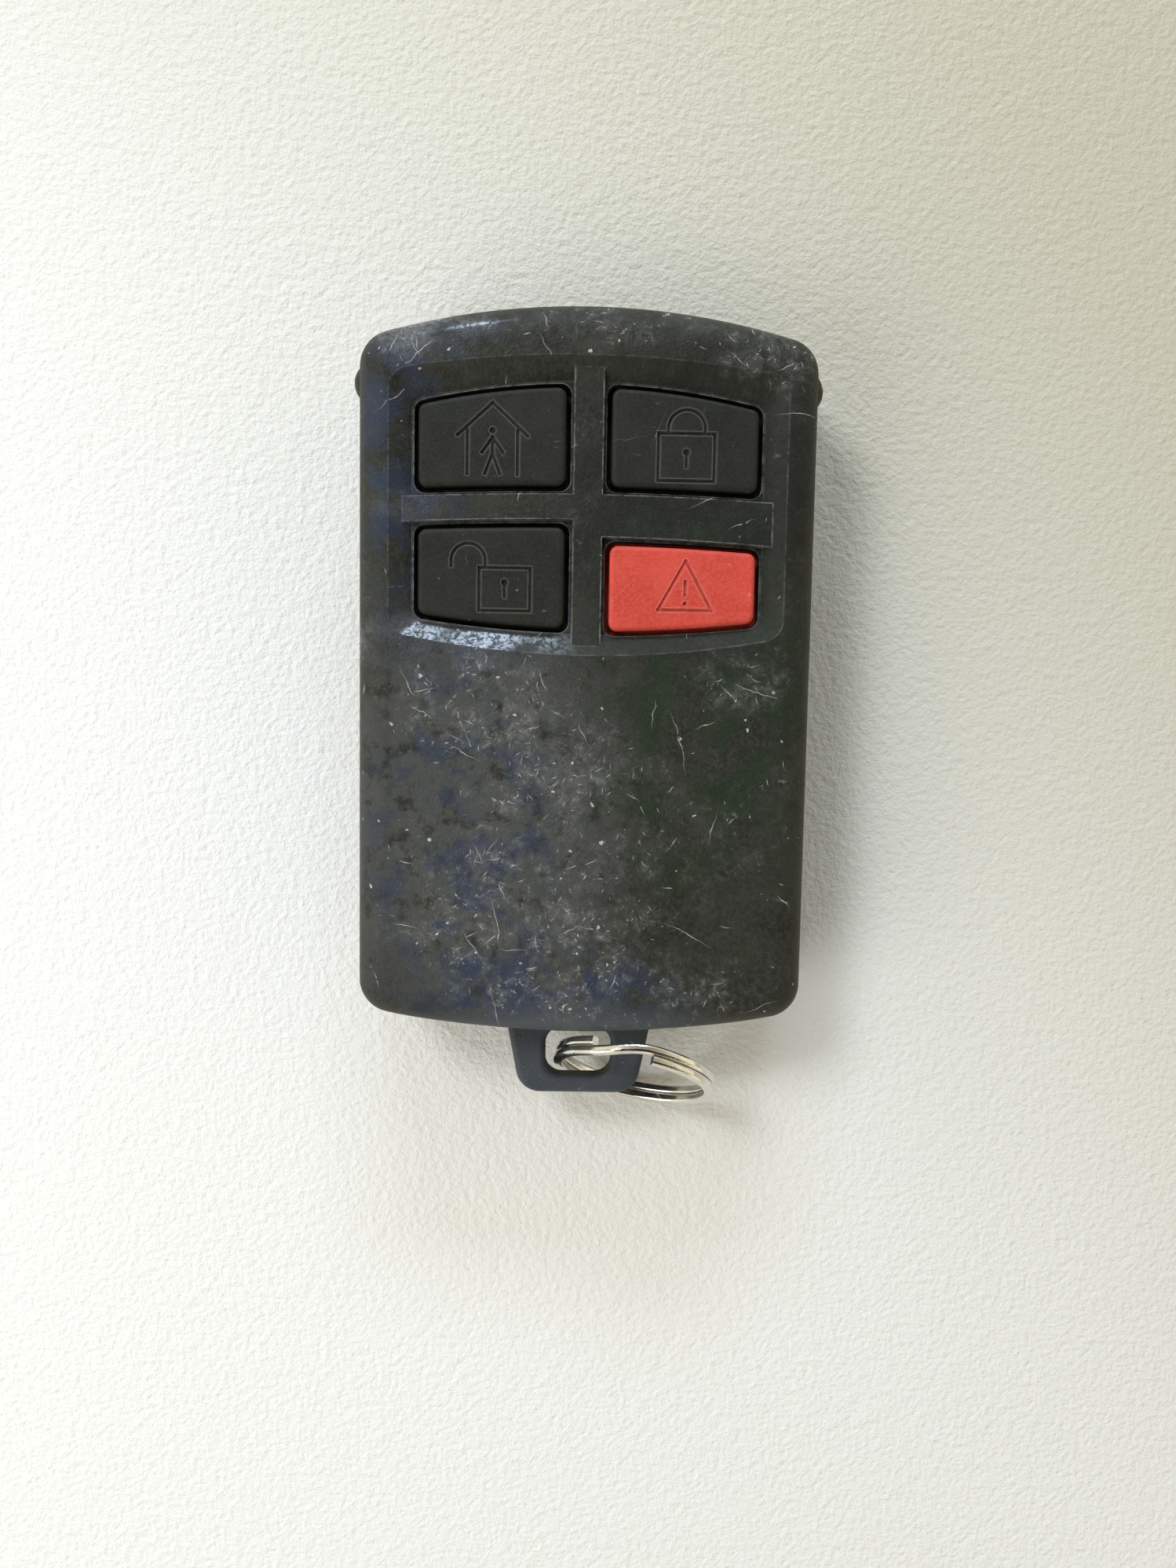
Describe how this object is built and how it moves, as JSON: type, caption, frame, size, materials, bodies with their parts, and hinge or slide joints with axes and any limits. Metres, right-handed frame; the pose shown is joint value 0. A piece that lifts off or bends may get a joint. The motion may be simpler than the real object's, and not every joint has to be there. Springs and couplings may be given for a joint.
{
  "type": "alarm remote key fob",
  "caption": "Flat hand-held alarm remote with raised press keys in a dished well and a split ring through its moulded end loop.",
  "frame": {"origin": "middle of the flat rear rest face, under the middle of the housing's outline", "axes": "+Z out of the key face, +Y toward the key end, -Y toward the key loop and ring, +X to the right seen from the key face"},
  "size_m": [0.0394, 0.0705, 0.0135],
  "materials": {
    "housing_plastic": "fine moulded grain, scuffed",
    "key_plastic": "satin, worn smooth",
    "panic_plastic": "satin red",
    "screw_steel": "zinc plated",
    "switch_plastic": "moulded",
    "tinned_steel": "tinned sheet",
    "dome_steel": "polished spring sheet",
    "plunger_plastic": "moulded",
    "board_laminate": "green solder mask",
    "cell_steel": "bright nickel-plated steel",
    "gasket_polymer": "moulded",
    "contact_steel": "nickel-plated spring sheet",
    "chip_epoxy": "moulded epoxy",
    "tinned_copper": "tinned",
    "capacitor_ceramic": "fired ceramic",
    "antenna_copper": "enamelled copper wire",
    "ring_nickel": "worn bright nickel"
  },
  "bodies": {
    "housing": {"front_shell": "housing_plastic", "rear_shell": "housing_plastic", "case_screw": "screw_steel", "stay_switch_base": "switch_plastic", "stay_switch_cover": "tinned_steel", "stay_switch_dome": "dome_steel", "arm_switch_base": "switch_plastic", "arm_switch_cover": "tinned_steel", "arm_switch_dome": "dome_steel", "disarm_switch_base": "switch_plastic", "disarm_switch_cover": "tinned_steel", "disarm_switch_dome": "dome_steel", "panic_switch_base": "switch_plastic", "panic_switch_cover": "tinned_steel", "panic_switch_dome": "dome_steel", "circuit_board": "board_laminate", "cell_can": "cell_steel", "cell_cap": "cell_steel", "cell_gasket": "gasket_polymer", "positive_contact": "contact_steel", "negative_contact": "contact_steel", "microcontroller": "chip_epoxy", "microcontroller_leads": "tinned_copper", "radio_resonator": "tinned_steel", "timing_crystal": "tinned_steel", "chip_capacitors": "capacitor_ceramic", "chip_resistors": "chip_epoxy", "loop_antenna": "antenna_copper"},
    "stay_key_set": {"stay_key": "key_plastic", "stay_switch_plunger": "plunger_plastic"},
    "arm_key_set": {"arm_key": "key_plastic", "arm_switch_plunger": "plunger_plastic"},
    "disarm_key_set": {"disarm_key": "key_plastic", "disarm_switch_plunger": "plunger_plastic"},
    "panic_key_set": {"panic_key": "panic_plastic", "panic_switch_plunger": "plunger_plastic"},
    "ring": {"split_ring": "ring_nickel"}
  },
  "joints": [
    {"name": "stay_key_press", "type": "slide", "parent": "housing", "child": "stay_key_set", "axis": [0, 0, -1], "range_m": [0, 0.00025], "stiffness_N_per_m": 6000, "deforming": ["stay_switch_dome"]},
    {"name": "arm_key_press", "type": "slide", "parent": "housing", "child": "arm_key_set", "axis": [0, 0, -1], "range_m": [0, 0.00025], "stiffness_N_per_m": 6000, "deforming": ["arm_switch_dome"]},
    {"name": "disarm_key_press", "type": "slide", "parent": "housing", "child": "disarm_key_set", "axis": [0, 0, -1], "range_m": [0, 0.00025], "stiffness_N_per_m": 6000, "deforming": ["disarm_switch_dome"]},
    {"name": "panic_key_press", "type": "slide", "parent": "housing", "child": "panic_key_set", "axis": [0, 0, -1], "range_m": [0, 0.00025], "stiffness_N_per_m": 6000, "deforming": ["panic_switch_dome"]},
    {"name": "ring_swing", "type": "hinge", "parent": "housing", "child": "ring", "pos_m": [0.0051, -0.03525, 0.00683], "axis": [0.9784, -0.1813, 0.0993], "range_deg": [-3, 58]}
  ]
}
